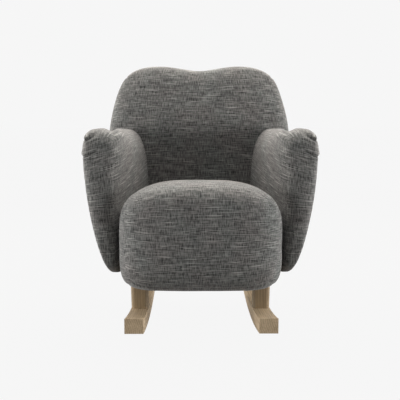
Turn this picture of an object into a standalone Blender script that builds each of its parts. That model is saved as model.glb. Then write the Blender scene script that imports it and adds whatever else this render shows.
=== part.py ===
"""Upholstered rocking chair: two bent oak runners, four short legs, a hidden beech frame with
webbing, foam over it, and fitted fabric covers for the seat, the back and the two arms.

Metres, +Z up. The chair faces -Y and stands on the plane z = 0, with its box centred on x = y = 0.
"left" is the side of negative X, as seen by someone who faces the chair.
"""

import math

import bmesh
import bpy
from mathutils import Matrix, Vector

# ---------------------------------------------------------------- driving dimensions
CLEAR = 0.0003  # gap between pieces that touch
FIT = 0.0005  # gap round a piece that sits in a pocket
COVER = 0.0025  # fabric with its lining
FOAM_INSET = COVER + FIT
FAR = 0.6  # half the size of a cutter that takes one side of a block away

# Rockers
RUNNER_HALF_LENGTH = 0.405
RUNNER_WIDTH = 0.058
RUNNER_THICK = 0.046
RUNNER_RADIUS = 2.56
RUNNER_X = 0.206
CONTACT_Y = 0.060  # where the runners touch the floor at rest
RUNNER_STEPS = 27
RUNNER_EASED_EDGE = 0.0012

# Legs
LEG_Y = {"front": -0.130, "rear": 0.187}
LEG_TOP = {"front": 0.1947, "rear": 0.1880}
LEG_FOOT_SIZE = (0.055, 0.050)
LEG_HEAD_SIZE = (0.062, 0.056)
LEG_EDGE_RADIUS = 0.012

# Seat block
SEAT_FRONT = -0.315
SEAT_FRONT_BOW = 0.016
SEAT_TOP = 0.489
SEAT_MIDDLE_Z = 0.318
SEAT_UNDERSIDE = 0.122
SEAT_FALL = 0.030  # how much lower the top is at the back
SIDE_AT_FRONT = 0.277  # half width between the arms at y = SIDE_Y
SIDE_Y = -0.22
SIDE_TAPER = 0.235
NEIGHBOUR_GAP = 0.003  # between two upholstered blocks
SEAT_DIVISIONS = (10, 9, 8)

# Back block
BACK_BOTTOM = 0.158
BACK_TOP = 0.900
BACK_FOOT_Y = 0.190
BACK_RAKE = 0.152
BACK_BEND = 1.15
BACK_DIP = 0.021
BACK_DIP_WIDTH = 0.100
BACK_DIVISIONS = (12, 4, 12)

# Arm blocks
ARM_FRONT = -0.225
ARM_BOTTOM = 0.179
ARM_TOP = 0.666
ARM_DIVISIONS = (4, 8, 10)
ARM_EDGE_LEAN = 0.008

# Frame
FRAME_BOTTOM = 0.195
FRAME_TOP = 0.308
RAIL_THICK = 0.022
RAIL_INSET = 0.037  # from the seat block's side to the side rail's outer face
FRONT_RAIL_Y = -0.235
CROSS_RAIL_Y = 0.115
CROSS_RAIL_BOTTOM = 0.233
FRONT_RAIL_END = 0.010  # how far it stops short of the side rails' outer faces
CORNER_BLOCK = {"length": 0.050, "bottom": 0.238, "below_top": 0.004, "thick": 0.040}
REAR_RAIL = {"x": 0.222, "y": (0.166, 0.206), "z": (0.1883, 0.2380)}
BACK_LEAN = math.radians(13.5)
BACK_FRAME_THICK = 0.030
POST_X = 0.203
POST_WIDTH = 0.034
POST_LENGTH = 0.525
POST_LIFT = 0.0037  # so that a leaning post's heel clears the rear rail
POST_FOOT_ROOM = 0.0045
MID_RAIL_Z = (0.215, 0.265)  # along the posts
CREST_HALF_LENGTH = 0.245
CREST_HEIGHT = 0.078
ARM_PANEL_THICK = 0.018
ARM_PANEL_TURN = math.atan(0.14)
ARM_PANEL_LEAN = math.atan(0.10)
ARM_PANEL_FOOT = Vector((0.3025, SIDE_Y, 0.2530))
ARM_PANEL_BELOW_TOP = 0.034
ARM_PANEL_FRONT = 0.022
ARM_PANEL_REAR = {"foot": 0.325, "head": 0.378}
ARM_PANEL_CORNER = 0.030

# Underside
DUST_COVER = {"front": (0.135, -0.232), "rear": (0.094, 0.110), "thick": 0.0015, "lift": 0.0012}
FOAM_OPENING = ((-0.131, -0.196), (0.131, 0.111))
BELOW_SEAT = 0.08  # where cutters that come up from below start

# Webbing
STRAP_WIDTH = 0.050
STRAP_THICK = 0.0016
LONG_STRAP_X = [-0.105, -0.035, 0.035, 0.105]
CROSS_STRAP_Y = [-0.160, -0.060, 0.040]
STRAP_WAVE = 0.0013
STRAP_LEVEL = 1.9
STRAP_SEGMENTS = 28
STRAP_HELD = (0.020, 0.036)  # from lying flat on a rail to weaving, from the strap's end
STRAP_LIFT = 0.0012
STRAP_END = 0.001  # a strap stops this far inside the rail's outer face
BACK_STRAP_HEIGHTS = [0.06, 0.15, 0.32, 0.42]

# Fasteners
LEG_BOLT = {"radius": 0.0040, "below": 0.040, "above": 0.034}
RUNNER_SCREW = {"radius": 0.0030, "head": 0.0065, "recess": 0.008, "into_leg": 0.030}
ARM_BOLT = {"radius": 0.0040, "head": 0.0080, "head_thick": 0.0050, "z": 0.278}
ARM_BOLT_Y = {"front": -0.130, "rear": 0.040}

OAK = ("oak", (0.44, 0.33, 0.21), 0.55, 0.0)
BEECH = ("beech", (0.60, 0.46, 0.31), 0.60, 0.0)
PLYWOOD = ("plywood", (0.63, 0.50, 0.34), 0.65, 0.0)
FABRIC = ("fabric", (0.17, 0.165, 0.155), 0.95, 0.0)
FOAM = ("foam", (0.80, 0.76, 0.62), 0.95, 0.0)
WEBBING = ("webbing", (0.25, 0.20, 0.14), 0.90, 0.0)
LINING = ("lining", (0.03, 0.03, 0.03), 0.95, 0.0)
STEEL = ("steel", (0.55, 0.55, 0.56), 0.35, 1.0)


# ---------------------------------------------------------------- scene helpers
def clear_scene():
    for obj in list(bpy.data.objects):
        bpy.data.objects.remove(obj, do_unlink=True)


def new_collection(name):
    made = bpy.data.collections.new(name)
    bpy.context.scene.collection.children.link(made)
    return made


def material(spec):
    name, colour, roughness, metallic = spec
    made = bpy.data.materials.get(name)
    if made is None:
        made = bpy.data.materials.new(name)
        made.use_nodes = True
        shader = made.node_tree.nodes["Principled BSDF"]
        shader.inputs["Base Color"].default_value = (*colour, 1.0)
        shader.inputs["Roughness"].default_value = roughness
        shader.inputs["Metallic"].default_value = metallic
        made.diffuse_color = (*colour, 1.0)
    return made


def as_object(name, bm, spec=None):
    """An object made from a bmesh: a piece when it has a material, and otherwise a cutter."""
    mesh = bpy.data.meshes.new(name)
    bm.to_mesh(mesh)
    bm.free()
    obj = bpy.data.objects.new(name, mesh)
    if spec:
        mesh.materials.append(material(spec))
        PIECES.objects.link(obj)
    else:
        CUTTERS.objects.link(obj)
        obj.hide_render = True
        obj.display_type = "WIRE"
    return obj


def cut(obj, *cutters):
    for cutter in cutters:
        modifier = obj.modifiers.new("cut_" + cutter.name, "BOOLEAN")
        modifier.operation = "DIFFERENCE"
        modifier.solver = "EXACT"
        modifier.object = cutter
    return obj


def settle(obj):
    """Applies an object's modifiers, so that its shape is in its own mesh."""
    bpy.context.view_layer.update()
    graph = bpy.context.evaluated_depsgraph_get()
    mesh = bpy.data.meshes.new_from_object(obj.evaluated_get(graph))
    obj.modifiers.clear()
    obj.data = mesh
    return obj


def mirrored(obj, name):
    """A copy of a piece from the right side, on the left."""
    settle(obj)
    copy = bpy.data.objects.new(name, obj.data)
    PIECES.objects.link(copy)
    copy.parent = LEFT_SIDE
    copy.matrix_basis = obj.matrix_basis.copy()
    return copy


def both_sides(obj, stem):
    """Names a piece for the right side and adds its left-hand twin."""
    obj.name = stem + "_right"
    return obj, mirrored(obj, stem + "_left")


def box(name, low, high, spec=None):
    """A box between two corners."""
    low, high = Vector(low), Vector(high)
    bm = bmesh.new()
    bmesh.ops.create_cube(bm, size=1.0)
    bmesh.ops.transform(bm, matrix=Matrix.Diagonal((high - low).to_4d()), verts=bm.verts)
    bmesh.ops.translate(bm, vec=(low + high) / 2, verts=bm.verts)
    return as_object(name, bm, spec)


def grown_box(name, obj, gap):
    """A cutter box round another box-shaped object, larger by gap on every side."""
    corners = [Vector(corner) for corner in obj.bound_box]
    low = Vector(min(c[i] for c in corners) - gap for i in range(3))
    high = Vector(max(c[i] for c in corners) + gap for i in range(3))
    cutter = box(name, low, high)
    cutter.matrix_world = obj.matrix_world.copy()
    return cutter


def rod(name, start, end, radius, spec=None, sides=16):
    """A cylinder between two points."""
    start, end = Vector(start), Vector(end)
    bm = bmesh.new()
    bmesh.ops.create_cone(
        bm, cap_ends=True, segments=sides, radius1=radius, radius2=radius, depth=(end - start).length
    )
    turn = (end - start).to_track_quat("Z", "Y").to_matrix().to_4x4()
    bmesh.ops.transform(bm, matrix=Matrix.Translation((start + end) / 2) @ turn, verts=bm.verts)
    return as_object(name, bm, spec)


def turned(name, profile, spec, location, turn=(0.0, 0.0, 0.0), sides=16):
    """A solid of revolution about its own Z axis. The profile is (radius, z) from top to bottom."""
    bm = bmesh.new()
    verts = [bm.verts.new((radius, 0.0, z)) for radius, z in profile]
    for first, second in zip(verts, verts[1:]):
        bm.edges.new((first, second))
    obj = as_object(name, bm, spec)
    screw = obj.modifiers.new("turn", "SCREW")
    screw.axis = "Z"
    screw.steps = sides
    screw.render_steps = sides
    screw.use_merge_vertices = True
    screw.merge_threshold = 0.00001
    obj.location = location
    obj.rotation_euler = turn
    return obj


def plate(name, outline, thickness, spec=None):
    """A flat outline in local x and y, with its thickness centred on local z."""
    curve = bpy.data.curves.new(name, "CURVE")
    curve.dimensions = "2D"
    curve.fill_mode = "BOTH"
    curve.extrude = thickness / 2
    spline = curve.splines.new("POLY")
    spline.points.add(len(outline) - 1)
    for point, (x, y) in zip(spline.points, outline):
        point.co = (x, y, 0.0, 1.0)
    spline.use_cyclic_u = True
    drawn = bpy.data.objects.new(name + "_curve", curve)
    CUTTERS.objects.link(drawn)
    bpy.context.view_layer.update()
    graph = bpy.context.evaluated_depsgraph_get()
    mesh = bpy.data.meshes.new_from_object(drawn.evaluated_get(graph))
    bpy.data.objects.remove(drawn, do_unlink=True)
    bm = bmesh.new()
    bm.from_mesh(mesh)
    bmesh.ops.remove_doubles(bm, verts=bm.verts, dist=0.00001)
    bmesh.ops.recalc_face_normals(bm, faces=bm.faces)
    bpy.data.meshes.remove(mesh)
    return as_object(name, bm, spec)


# ---------------------------------------------------------------- soft shapes
def smooth(low, high, value):
    t = min(1.0, max(0.0, (value - low) / (high - low)))
    return t * t * (3 - 2 * t)


def blend(a, b, t):
    return a + (b - a) * t


def rounded(p, section, front, rear):
    """Rounds a point of the cube's surface, with powers for the cross-section (x and z) and the
    front and rear ends (y). A rear power of None leaves that end flat."""
    x, y, z = p
    reach = max(abs(x), abs(z))
    if reach > 0:
        norm = (abs(x) ** section + abs(z) ** section) ** (1 / section)
        x, z = x * reach / norm, z * reach / norm
    power = front if y < 0 else rear
    if power is not None:
        k = (reach**power + abs(y) ** power) ** (-1 / power)
        x, y, z = x * k, y * k, z * k
    return x, y, z


def side_x(y):
    """Half the width of the seat block, which is also where the arms begin."""
    return SIDE_AT_FRONT - SIDE_TAPER * (y - SIDE_Y)


def back_half_width(z):
    return 0.290 + 0.057 * smooth(0.16, 0.53, z) - 0.022 * smooth(0.62, 0.83, z)


def back_half_thickness(z):
    return 0.055 + 0.024 * smooth(0.18, 0.53, z) - 0.010 * smooth(0.63, 0.90, z)


def back_middle_y(z):
    t = max(0.0, (z - BACK_BOTTOM) / (BACK_TOP - BACK_BOTTOM))
    return BACK_FOOT_Y + BACK_RAKE * t**BACK_BEND


def back_section_power(z_share):
    return 5.0 if z_share > 0 else 6.0


def back_point(p):
    """The back block: a thick leaning pad, wider at the arms, with a dip in its top edge."""
    x, y, z = rounded(p, back_section_power(p[2]), 4.0, 5.0)
    middle, half = (BACK_TOP + BACK_BOTTOM) / 2, (BACK_TOP - BACK_BOTTOM) / 2
    height = middle + half * z
    width = back_half_width(height) * x
    dip = BACK_DIP * math.exp(-((width / BACK_DIP_WIDTH) ** 2)) * smooth(0.65, 0.89, height)
    return Vector((width, back_middle_y(height) + back_half_thickness(height) * y, height - dip))


def back_face_y(x, z):
    """Where the back block's front face is, at a place in front of it."""
    middle, half = (BACK_TOP + BACK_BOTTOM) / 2, (BACK_TOP - BACK_BOTTOM) / 2
    share_z = (z - middle) / half
    share_x = abs(x) / back_half_width(z)
    power = back_section_power(share_z)
    reach = min(0.85, (share_x**power + abs(share_z) ** power) ** (1 / power))
    return back_middle_y(z) - back_half_thickness(z) * (1 - reach**4) ** 0.25


def seat_point(p):
    """The seat block: a deep crowned box, tapered towards the back, with a bowed front."""
    x, y, z = rounded(p, 3.2 if p[2] > 0 else 5.8, 4.2, None)
    share = (y + 1) / 2
    if z > 0:
        height = SEAT_MIDDLE_Z + (SEAT_TOP - SEAT_MIDDLE_Z) * z
        height -= SEAT_FALL * z * smooth(0.35, 1.0, share)
    else:
        height = SEAT_MIDDLE_Z + (SEAT_MIDDLE_Z - SEAT_UNDERSIDE) * z
    front = SEAT_FRONT + SEAT_FRONT_BOW * x * x
    wide = side_x(blend(SEAT_FRONT, 0.15, share)) * x
    rear = back_face_y(wide, height) - NEIGHBOUR_GAP
    along = blend(front, rear, share)
    return Vector((side_x(along) * x, along, height))


def arm_point(p):
    """The right arm block: a leaf-shaped slab that flares outwards and up, thicker to the rear."""
    share = (p[1] + 1) / 2
    section = blend(6.0, 2.4, share) if p[2] > 0 else 5.5
    x, y, z = rounded(p, section, 6.0, None)
    share = (y + 1) / 2
    up = (z + 1) / 2
    height = blend(ARM_BOTTOM, ARM_TOP, up)
    flare = 1 - (1 - up) ** 2.3
    outer = blend(0.309 + 0.085 * flare, 0.270 + 0.084 * flare, share)
    lean = ARM_EDGE_LEAN * (1 - share) * smooth(0.40, 0.85, up)
    guess = blend(outer, blend(0.266, 0.203, share), 0.5) + 0.05 * x
    rear = back_face_y(guess, height) - NEIGHBOUR_GAP
    along = blend(ARM_FRONT, rear, share)
    inner = side_x(along) + NEIGHBOUR_GAP + lean
    return Vector((blend(inner, outer, (x + 1) / 2), along, height))


def ease(t):
    """Spreads the cube's rows so that more of them fall on the rounded edges."""
    return 0.45 * t + 0.55 * math.sin(t * math.pi / 2)


def soft_mesh(divisions, point, inset):
    """A cube with a grid on its faces, moved onto a soft shape. Also gives the centre of each face
    on the cube, and how far each corner moves to bring the surface in by the inset."""
    bm = bmesh.new()
    bmesh.ops.create_cube(bm, size=2.0)
    for axis in range(3):
        along = [
            edge for edge in bm.edges
            if abs(edge.verts[0].co[axis] - edge.verts[1].co[axis]) > 1e-6
        ]
        bmesh.ops.subdivide_edges(bm, edges=along, cuts=divisions[axis] - 1, use_grid_fill=True)
    on_cube = {vert: vert.co.copy() for vert in bm.verts}
    for vert in bm.verts:
        vert.co = point([ease(c) for c in vert.co])
    bmesh.ops.triangulate(bm, faces=bm.faces, quad_method="SHORT_EDGE")
    centres = {
        face: sum((on_cube[vert] for vert in face.verts), Vector()) / 3 for face in bm.faces
    }
    bm.normal_update()
    moves = {vert: vert.normal * (-inset * vert.calc_shell_factor()) for vert in bm.verts}
    return bm, centres, moves


def soft_filling(name, divisions, point):
    """The foam inside a cover."""
    bm, _, moves = soft_mesh(divisions, point, FOAM_INSET)
    for vert, move in moves.items():
        vert.co += move
    return as_object(name, bm, FOAM)


def soft_cover(name, divisions, point, in_opening):
    """A fabric skin with an opening, which holds the faces whose place on the cube passes a test."""
    bm, centres, moves = soft_mesh(divisions, point, COVER)
    opening = [face for face, centre in centres.items() if in_opening(centre)]
    bmesh.ops.delete(bm, geom=opening, context="FACES")
    outer_faces = list(bm.faces)
    rim = [edge.link_loops[0] for edge in bm.edges if edge.is_boundary]
    lining = {vert: bm.verts.new(vert.co + moves[vert]) for vert in list(bm.verts)}
    for face in outer_faces:
        bm.faces.new([lining[vert] for vert in reversed(face.verts)])
    for loop in rim:
        start, end = loop.vert, loop.link_loop_next.vert
        bm.faces.new((end, start, lining[start], lining[end]))
    return as_object(name, bm, FABRIC)


# ---------------------------------------------------------------- rockers and legs
def runner_z(y, height):
    """Height of a line of the runner, which is height above its underside."""
    radius = RUNNER_RADIUS - height
    return RUNNER_RADIUS - math.sqrt(radius**2 - (y - CONTACT_Y) ** 2)


def build_runner():
    step = 2 * RUNNER_HALF_LENGTH / RUNNER_STEPS
    along = [-RUNNER_HALF_LENGTH + step * i for i in range(RUNNER_STEPS + 1)]
    lower = [(y, runner_z(y, 0.0)) for y in along]
    upper = [(y, runner_z(y, RUNNER_THICK)) for y in reversed(along)]
    runner = plate("runner", lower + upper, RUNNER_WIDTH, OAK)
    # Local x becomes world y and local y becomes world z.
    runner.data.transform(Matrix(((0, 0, 1, 0), (1, 0, 0, 0), (0, 1, 0, 0), (0, 0, 0, 1))))
    runner.location.x = RUNNER_X
    bevel = runner.modifiers.new("eased_edges", "BEVEL")
    bevel.width = RUNNER_EASED_EDGE
    bevel.segments = 1
    bevel.limit_method = "ANGLE"
    for place in LEG_Y:
        y = LEG_Y[place]
        foot = runner_z(y, 0.0)
        shaft = rod(f"screw_way_{place}", (RUNNER_X, y, -0.01), (RUNNER_X, y, 0.12),
                    RUNNER_SCREW["radius"] + CLEAR)
        recess = rod(f"screw_recess_{place}", (RUNNER_X, y, -0.01),
                     (RUNNER_X, y, foot + RUNNER_SCREW["recess"]), RUNNER_SCREW["head"] + FIT)
        cut(runner, shaft, recess)
    return both_sides(runner, "runner")


def leg_section(bm, size, z_of):
    """One loop of a leg: a rectangle with rounded corners, at heights given by z_of(y)."""
    radius, corner_steps = LEG_EDGE_RADIUS, 3
    verts = []
    for corner in range(4):
        sign_x = 1 if corner in (0, 3) else -1
        sign_y = 1 if corner in (0, 1) else -1
        centre_x = sign_x * (size[0] / 2 - radius)
        centre_y = sign_y * (size[1] / 2 - radius)
        for i in range(corner_steps + 1):
            angle = math.pi / 2 * (corner + i / corner_steps)
            x = centre_x + radius * math.cos(angle)
            y = centre_y + radius * math.sin(angle)
            verts.append(bm.verts.new((x, y, z_of(y))))
    return verts


def build_leg(place):
    """A tapered post with rounded edges, its foot cut to the runner's curve."""
    y = LEG_Y[place]
    bm = bmesh.new()
    foot = leg_section(bm, LEG_FOOT_SIZE, lambda dy: runner_z(y + dy, RUNNER_THICK) + CLEAR)
    head = leg_section(bm, LEG_HEAD_SIZE, lambda dy: LEG_TOP[place])
    count = len(foot)
    for i in range(count):
        j = (i + 1) % count
        bm.faces.new((foot[i], foot[j], head[j], head[i]))
    bm.faces.new(head)
    bmesh.ops.triangulate(bm, faces=[bm.faces.new(list(reversed(foot)))])
    leg = as_object(f"leg_{place}", bm, OAK)
    leg.location = (RUNNER_X, y, 0.0)
    screw_top = runner_z(y, RUNNER_THICK) + RUNNER_SCREW["into_leg"] + 0.002
    screw_way = rod(f"leg_screw_way_{place}", (RUNNER_X, y, 0.0), (RUNNER_X, y, screw_top),
                    RUNNER_SCREW["radius"] + CLEAR)
    bolt_way = rod(f"leg_bolt_way_{place}",
                   (RUNNER_X, y, LEG_TOP[place] - LEG_BOLT["below"] - 0.001),
                   (RUNNER_X, y, LEG_TOP[place] + LEG_BOLT["above"] + 0.001),
                   LEG_BOLT["radius"] + CLEAR)
    cut(leg, screw_way, bolt_way)
    both_sides(leg, f"leg_{place}")
    return bolt_way


def build_leg_bolt(place):
    middle = Vector((RUNNER_X, LEG_Y[place], LEG_TOP[place]))
    bolt = rod("leg_bolt", middle - Vector((0, 0, LEG_BOLT["below"])),
               middle + Vector((0, 0, LEG_BOLT["above"])), LEG_BOLT["radius"], STEEL)
    both_sides(bolt, f"leg_bolt_{place}")


def build_runner_screw(place):
    """A countersunk screw from under the runner up into the leg's foot."""
    y = LEG_Y[place]
    head_top = runner_z(y, 0.0) + RUNNER_SCREW["recess"] - CLEAR
    tip = runner_z(y, RUNNER_THICK) + RUNNER_SCREW["into_leg"]
    profile = [
        (0.0, tip),
        (RUNNER_SCREW["radius"] * 0.4, tip),
        (RUNNER_SCREW["radius"], tip - 0.006),
        (RUNNER_SCREW["radius"], head_top - 0.0005),
        (RUNNER_SCREW["head"], head_top - 0.0005),
        (RUNNER_SCREW["head"], head_top - 0.004),
        (0.0, head_top - 0.004),
    ]
    screw = turned("runner_screw", profile, STEEL, (RUNNER_X, y, 0.0), sides=12)
    both_sides(screw, f"runner_screw_{place}")


# ---------------------------------------------------------------- seat frame and webbing
def rail_outer_x(y):
    return side_x(y) - RAIL_INSET


def slanted_board(name, x_shift, y_low, y_high, z_low, z_high, thick, spec=None):
    """A board along the tapered side of the seat, its outer face x_shift outside the rail's."""
    bm = bmesh.new()
    corners = [
        (rail_outer_x(y) + x_shift - inward, y) for y, inward in
        ((y_low, thick), (y_low, 0.0), (y_high, 0.0), (y_high, thick))
    ]
    lower = [bm.verts.new((x, y, z_low)) for x, y in corners]
    face = bm.faces.new(lower)
    raised = bmesh.ops.extrude_face_region(bm, geom=[face])["geom"]
    tops = [item for item in raised if isinstance(item, bmesh.types.BMVert)]
    bmesh.ops.translate(bm, vec=(0, 0, z_high - z_low), verts=tops)
    bmesh.ops.recalc_face_normals(bm, faces=bm.faces)
    return as_object(name, bm, spec)


def build_seat_frame(front_bolt_way, rear_bolt_way, arm_bolt_ways):
    """Front rail, side rails, cross rail, rear rail and corner blocks."""
    front_inner = FRONT_RAIL_Y + RAIL_THICK
    half = rail_outer_x(FRONT_RAIL_Y) - FRONT_RAIL_END
    box("front_rail", (-half, FRONT_RAIL_Y, FRAME_BOTTOM), (half, front_inner, FRAME_TOP), BEECH)

    rear_y = REAR_RAIL["y"][0] - CLEAR
    side = slanted_board("side_rail", 0.0, front_inner + CLEAR, rear_y,
                         FRAME_BOTTOM, FRAME_TOP, RAIL_THICK, BEECH)
    cut(side, front_bolt_way, *arm_bolt_ways)
    both_sides(side, "side_rail")
    side_ways = [
        slanted_board(f"side_rail_way_{n}", FIT, 0.05, rear_y + FIT, FRAME_BOTTOM - FIT,
                      FRAME_TOP + FIT, RAIL_THICK + 2 * FIT)
        for n in ("right", "left")
    ]
    side_ways[1].parent = LEFT_SIDE

    cross_half = rail_outer_x(CROSS_RAIL_Y + RAIL_THICK) - RAIL_THICK - CLEAR
    box("seat_cross_rail", (-cross_half, CROSS_RAIL_Y, CROSS_RAIL_BOTTOM),
        (cross_half, CROSS_RAIL_Y + RAIL_THICK, FRAME_TOP), BEECH)

    rear = box("rear_rail", (-REAR_RAIL["x"], REAR_RAIL["y"][0], REAR_RAIL["z"][0]),
               (REAR_RAIL["x"], REAR_RAIL["y"][1], REAR_RAIL["z"][1]), BEECH)
    rear_way = grown_box("rear_rail_way", rear, FIT)
    left_way = rear_bolt_way.copy()
    left_way.parent = LEFT_SIDE
    CUTTERS.objects.link(left_way)
    cut(rear, rear_bolt_way, left_way)

    for place, y_low, y_high in (
        ("front", front_inner + CLEAR, front_inner + CORNER_BLOCK["length"]),
        ("rear", CROSS_RAIL_Y - CORNER_BLOCK["length"], CROSS_RAIL_Y - CLEAR),
    ):
        block = slanted_board(
            "corner_block", -RAIL_THICK - CLEAR, y_low, y_high, CORNER_BLOCK["bottom"],
            FRAME_TOP - CORNER_BLOCK["below_top"], CORNER_BLOCK["thick"], BEECH
        )
        both_sides(block, f"corner_block_{place}")
    return side_ways, rear_way


def wave(position, first, pitch, sign):
    """Height of a strap over or under those it crosses, level for the width of each."""
    swing = STRAP_LEVEL * math.cos(math.pi * (position - first) / pitch)
    return sign * STRAP_WAVE * min(1.0, max(-1.0, swing))


def strap(name, length_range, across, axis, first, pitch, sign):
    """A webbing strap that passes over and under the straps it crosses, resting on the rails."""
    start, end = length_range
    bm = bmesh.new()
    bmesh.ops.create_grid(bm, x_segments=STRAP_SEGMENTS, y_segments=1, size=0.5)
    rest = FRAME_TOP + CLEAR + STRAP_THICK / 2
    middle = rest + STRAP_WAVE + STRAP_LIFT
    for vert in bm.verts:
        position = blend(start, end, vert.co.x + 0.5)
        held = min(position - start, end - position)
        fade = smooth(*STRAP_HELD, held)
        height = blend(rest, middle + wave(position, first, pitch, sign), fade)
        side = across + vert.co.y * STRAP_WIDTH
        vert.co = (side, position, height) if axis == "y" else (position, -side, height)
    bmesh.ops.recalc_face_normals(bm, faces=bm.faces)
    obj = as_object(name, bm, WEBBING)
    skin = obj.modifiers.new("thickness", "SOLIDIFY")
    skin.thickness = STRAP_THICK
    skin.offset = 0.0
    return obj


def build_webbing():
    for i, x in enumerate(LONG_STRAP_X):
        strap(f"seat_strap_long_{i + 1}",
              (FRONT_RAIL_Y + STRAP_END, CROSS_RAIL_Y + RAIL_THICK - STRAP_END), x, "y",
              CROSS_STRAP_Y[0], CROSS_STRAP_Y[1] - CROSS_STRAP_Y[0], (-1) ** i)
    for j, y in enumerate(CROSS_STRAP_Y):
        reach = rail_outer_x(y + STRAP_WIDTH / 2) - STRAP_END
        strap(f"seat_strap_cross_{j + 1}", (-reach, reach), -y, "x",
              LONG_STRAP_X[0], LONG_STRAP_X[1] - LONG_STRAP_X[0], -((-1) ** j))


# ---------------------------------------------------------------- back frame
def back_frame_empty():
    """An empty at the foot of the back posts, leaning back with them. Its z runs up the posts."""
    empty = bpy.data.objects.new("back_frame_axis", None)
    PIECES.objects.link(empty)
    empty.location = (0.0, sum(REAR_RAIL["y"]) / 2 - 0.002, REAR_RAIL["z"][1] + CLEAR + POST_LIFT)
    empty.rotation_euler = (-BACK_LEAN, 0.0, 0.0)
    bpy.context.view_layer.update()
    return empty


def crest_outline():
    """The crest rail's edge: round shoulders, and a top that dips in the middle."""
    shoulder = 0.055
    top = [
        (x, CREST_HEIGHT - BACK_DIP * math.exp(-((x / BACK_DIP_WIDTH) ** 2)))
        for x in [0.024 * i for i in range(-7, 8)]
    ]
    right = [
        (CREST_HALF_LENGTH - shoulder + shoulder * math.sin(a), CREST_HEIGHT - shoulder
         + shoulder * math.cos(a))
        for a in [math.pi / 2 * i / 5 for i in range(6)]
    ]
    left = [(-x, y) for x, y in reversed(right)]
    return [(-CREST_HALF_LENGTH, 0.0)] + left + top + right + [(CREST_HALF_LENGTH, 0.0)]


def build_back_frame():
    axis = back_frame_empty()
    half = BACK_FRAME_THICK / 2
    pieces = [
        box(f"back_post_{side}", (sign * POST_X - POST_WIDTH / 2, -half, 0.0),
            (sign * POST_X + POST_WIDTH / 2, half, POST_LENGTH), BEECH)
        for side, sign in (("right", 1), ("left", -1))
    ]
    between = POST_X - POST_WIDTH / 2 - CLEAR
    pieces.append(box("back_mid_rail", (-between, -half, MID_RAIL_Z[0]),
                      (between, half, MID_RAIL_Z[1]), BEECH))
    crest = plate("back_crest_rail", crest_outline(), BACK_FRAME_THICK, BEECH)
    crest.data.transform(Matrix.Rotation(math.pi / 2, 4, "X"))
    crest.data.transform(Matrix.Translation((0, 0, POST_LENGTH + CLEAR)))
    pieces.append(crest)
    reach = POST_X + POST_WIDTH / 2 - STRAP_END
    front = -half - CLEAR
    for i, height in enumerate(BACK_STRAP_HEIGHTS):
        pieces.append(box(f"back_strap_{i + 1}", (-reach, front - STRAP_THICK, height),
                          (reach, front, height + STRAP_WIDTH), WEBBING))
    for piece in pieces:
        piece.parent = axis
    return axis


# ---------------------------------------------------------------- arm frames
def arm_panel_matrix():
    """Local x runs to the rear, local y runs up, and local z points outwards."""
    turn = Matrix.Rotation(ARM_PANEL_TURN, 4, "Z")
    lean = Matrix.Rotation(ARM_PANEL_LEAN, 4, "Y")
    stand = Matrix(((0, 0, 1, 0), (1, 0, 0, 0), (0, 1, 0, 0), (0, 0, 0, 1)))
    return Matrix.Translation(ARM_PANEL_FOOT) @ turn @ lean @ stand


def rounded_outline(corners, radius, steps=4):
    """A polygon, anticlockwise, with each corner rounded."""
    points = []
    count = len(corners)
    for i, corner in enumerate(corners):
        corner = Vector(corner)
        before = (Vector(corners[i - 1]) - corner).normalized()
        after = (Vector(corners[(i + 1) % count]) - corner).normalized()
        half_angle = before.angle(after) / 2
        setback = radius / math.tan(half_angle)
        centre = corner + (before + after).normalized() * (radius / math.sin(half_angle))
        start = corner + before * setback - centre
        end = corner + after * setback - centre
        sweep = start.angle_signed(end)
        for n in range(steps + 1):
            angle = -sweep * n / steps
            spun = Matrix.Rotation(angle, 2) @ start
            points.append(tuple(centre + spun))
    return points


def arm_panel_outline(grow=0.0):
    height = (ARM_TOP - ARM_PANEL_BELOW_TOP - ARM_PANEL_FOOT.z) / math.cos(ARM_PANEL_LEAN)
    corners = [
        (ARM_PANEL_FRONT - grow, -grow),
        (ARM_PANEL_REAR["foot"] + grow, -grow),
        (ARM_PANEL_REAR["head"] + grow, height + grow),
        (ARM_PANEL_FRONT - grow, height + grow),
    ]
    return rounded_outline(corners, ARM_PANEL_CORNER)


def build_arm_panel(arm_bolt_ways):
    panel = plate("arm_panel", arm_panel_outline(), ARM_PANEL_THICK, PLYWOOD)
    panel.matrix_world = arm_panel_matrix()
    cut(panel, *arm_bolt_ways)
    both_sides(panel, "arm_panel")
    way = plate("arm_panel_way", arm_panel_outline(FIT), ARM_PANEL_THICK + 2 * FIT)
    way.matrix_world = arm_panel_matrix()
    return way


def arm_bolt_ends(place):
    """Where an arm bolt's shank starts and stops: inside the side rail, and in the arm panel."""
    y = ARM_BOLT_Y[place]
    start = rail_outer_x(y) - RAIL_THICK - 0.004
    up = ARM_BOLT["z"] - ARM_PANEL_FOOT.z
    panel_x = ARM_PANEL_FOOT.x + up * math.tan(ARM_PANEL_LEAN)
    panel_x -= (y - ARM_PANEL_FOOT.y) * math.tan(ARM_PANEL_TURN)
    return start, panel_x + ARM_PANEL_THICK / 2 - 0.004


def build_arm_bolt_way(place):
    start, end = arm_bolt_ends(place)
    y = ARM_BOLT_Y[place]
    return rod(f"arm_bolt_way_{place}", (start - 0.010, y, ARM_BOLT["z"]),
               (end + 0.001, y, ARM_BOLT["z"]), ARM_BOLT["radius"] + CLEAR)


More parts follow.
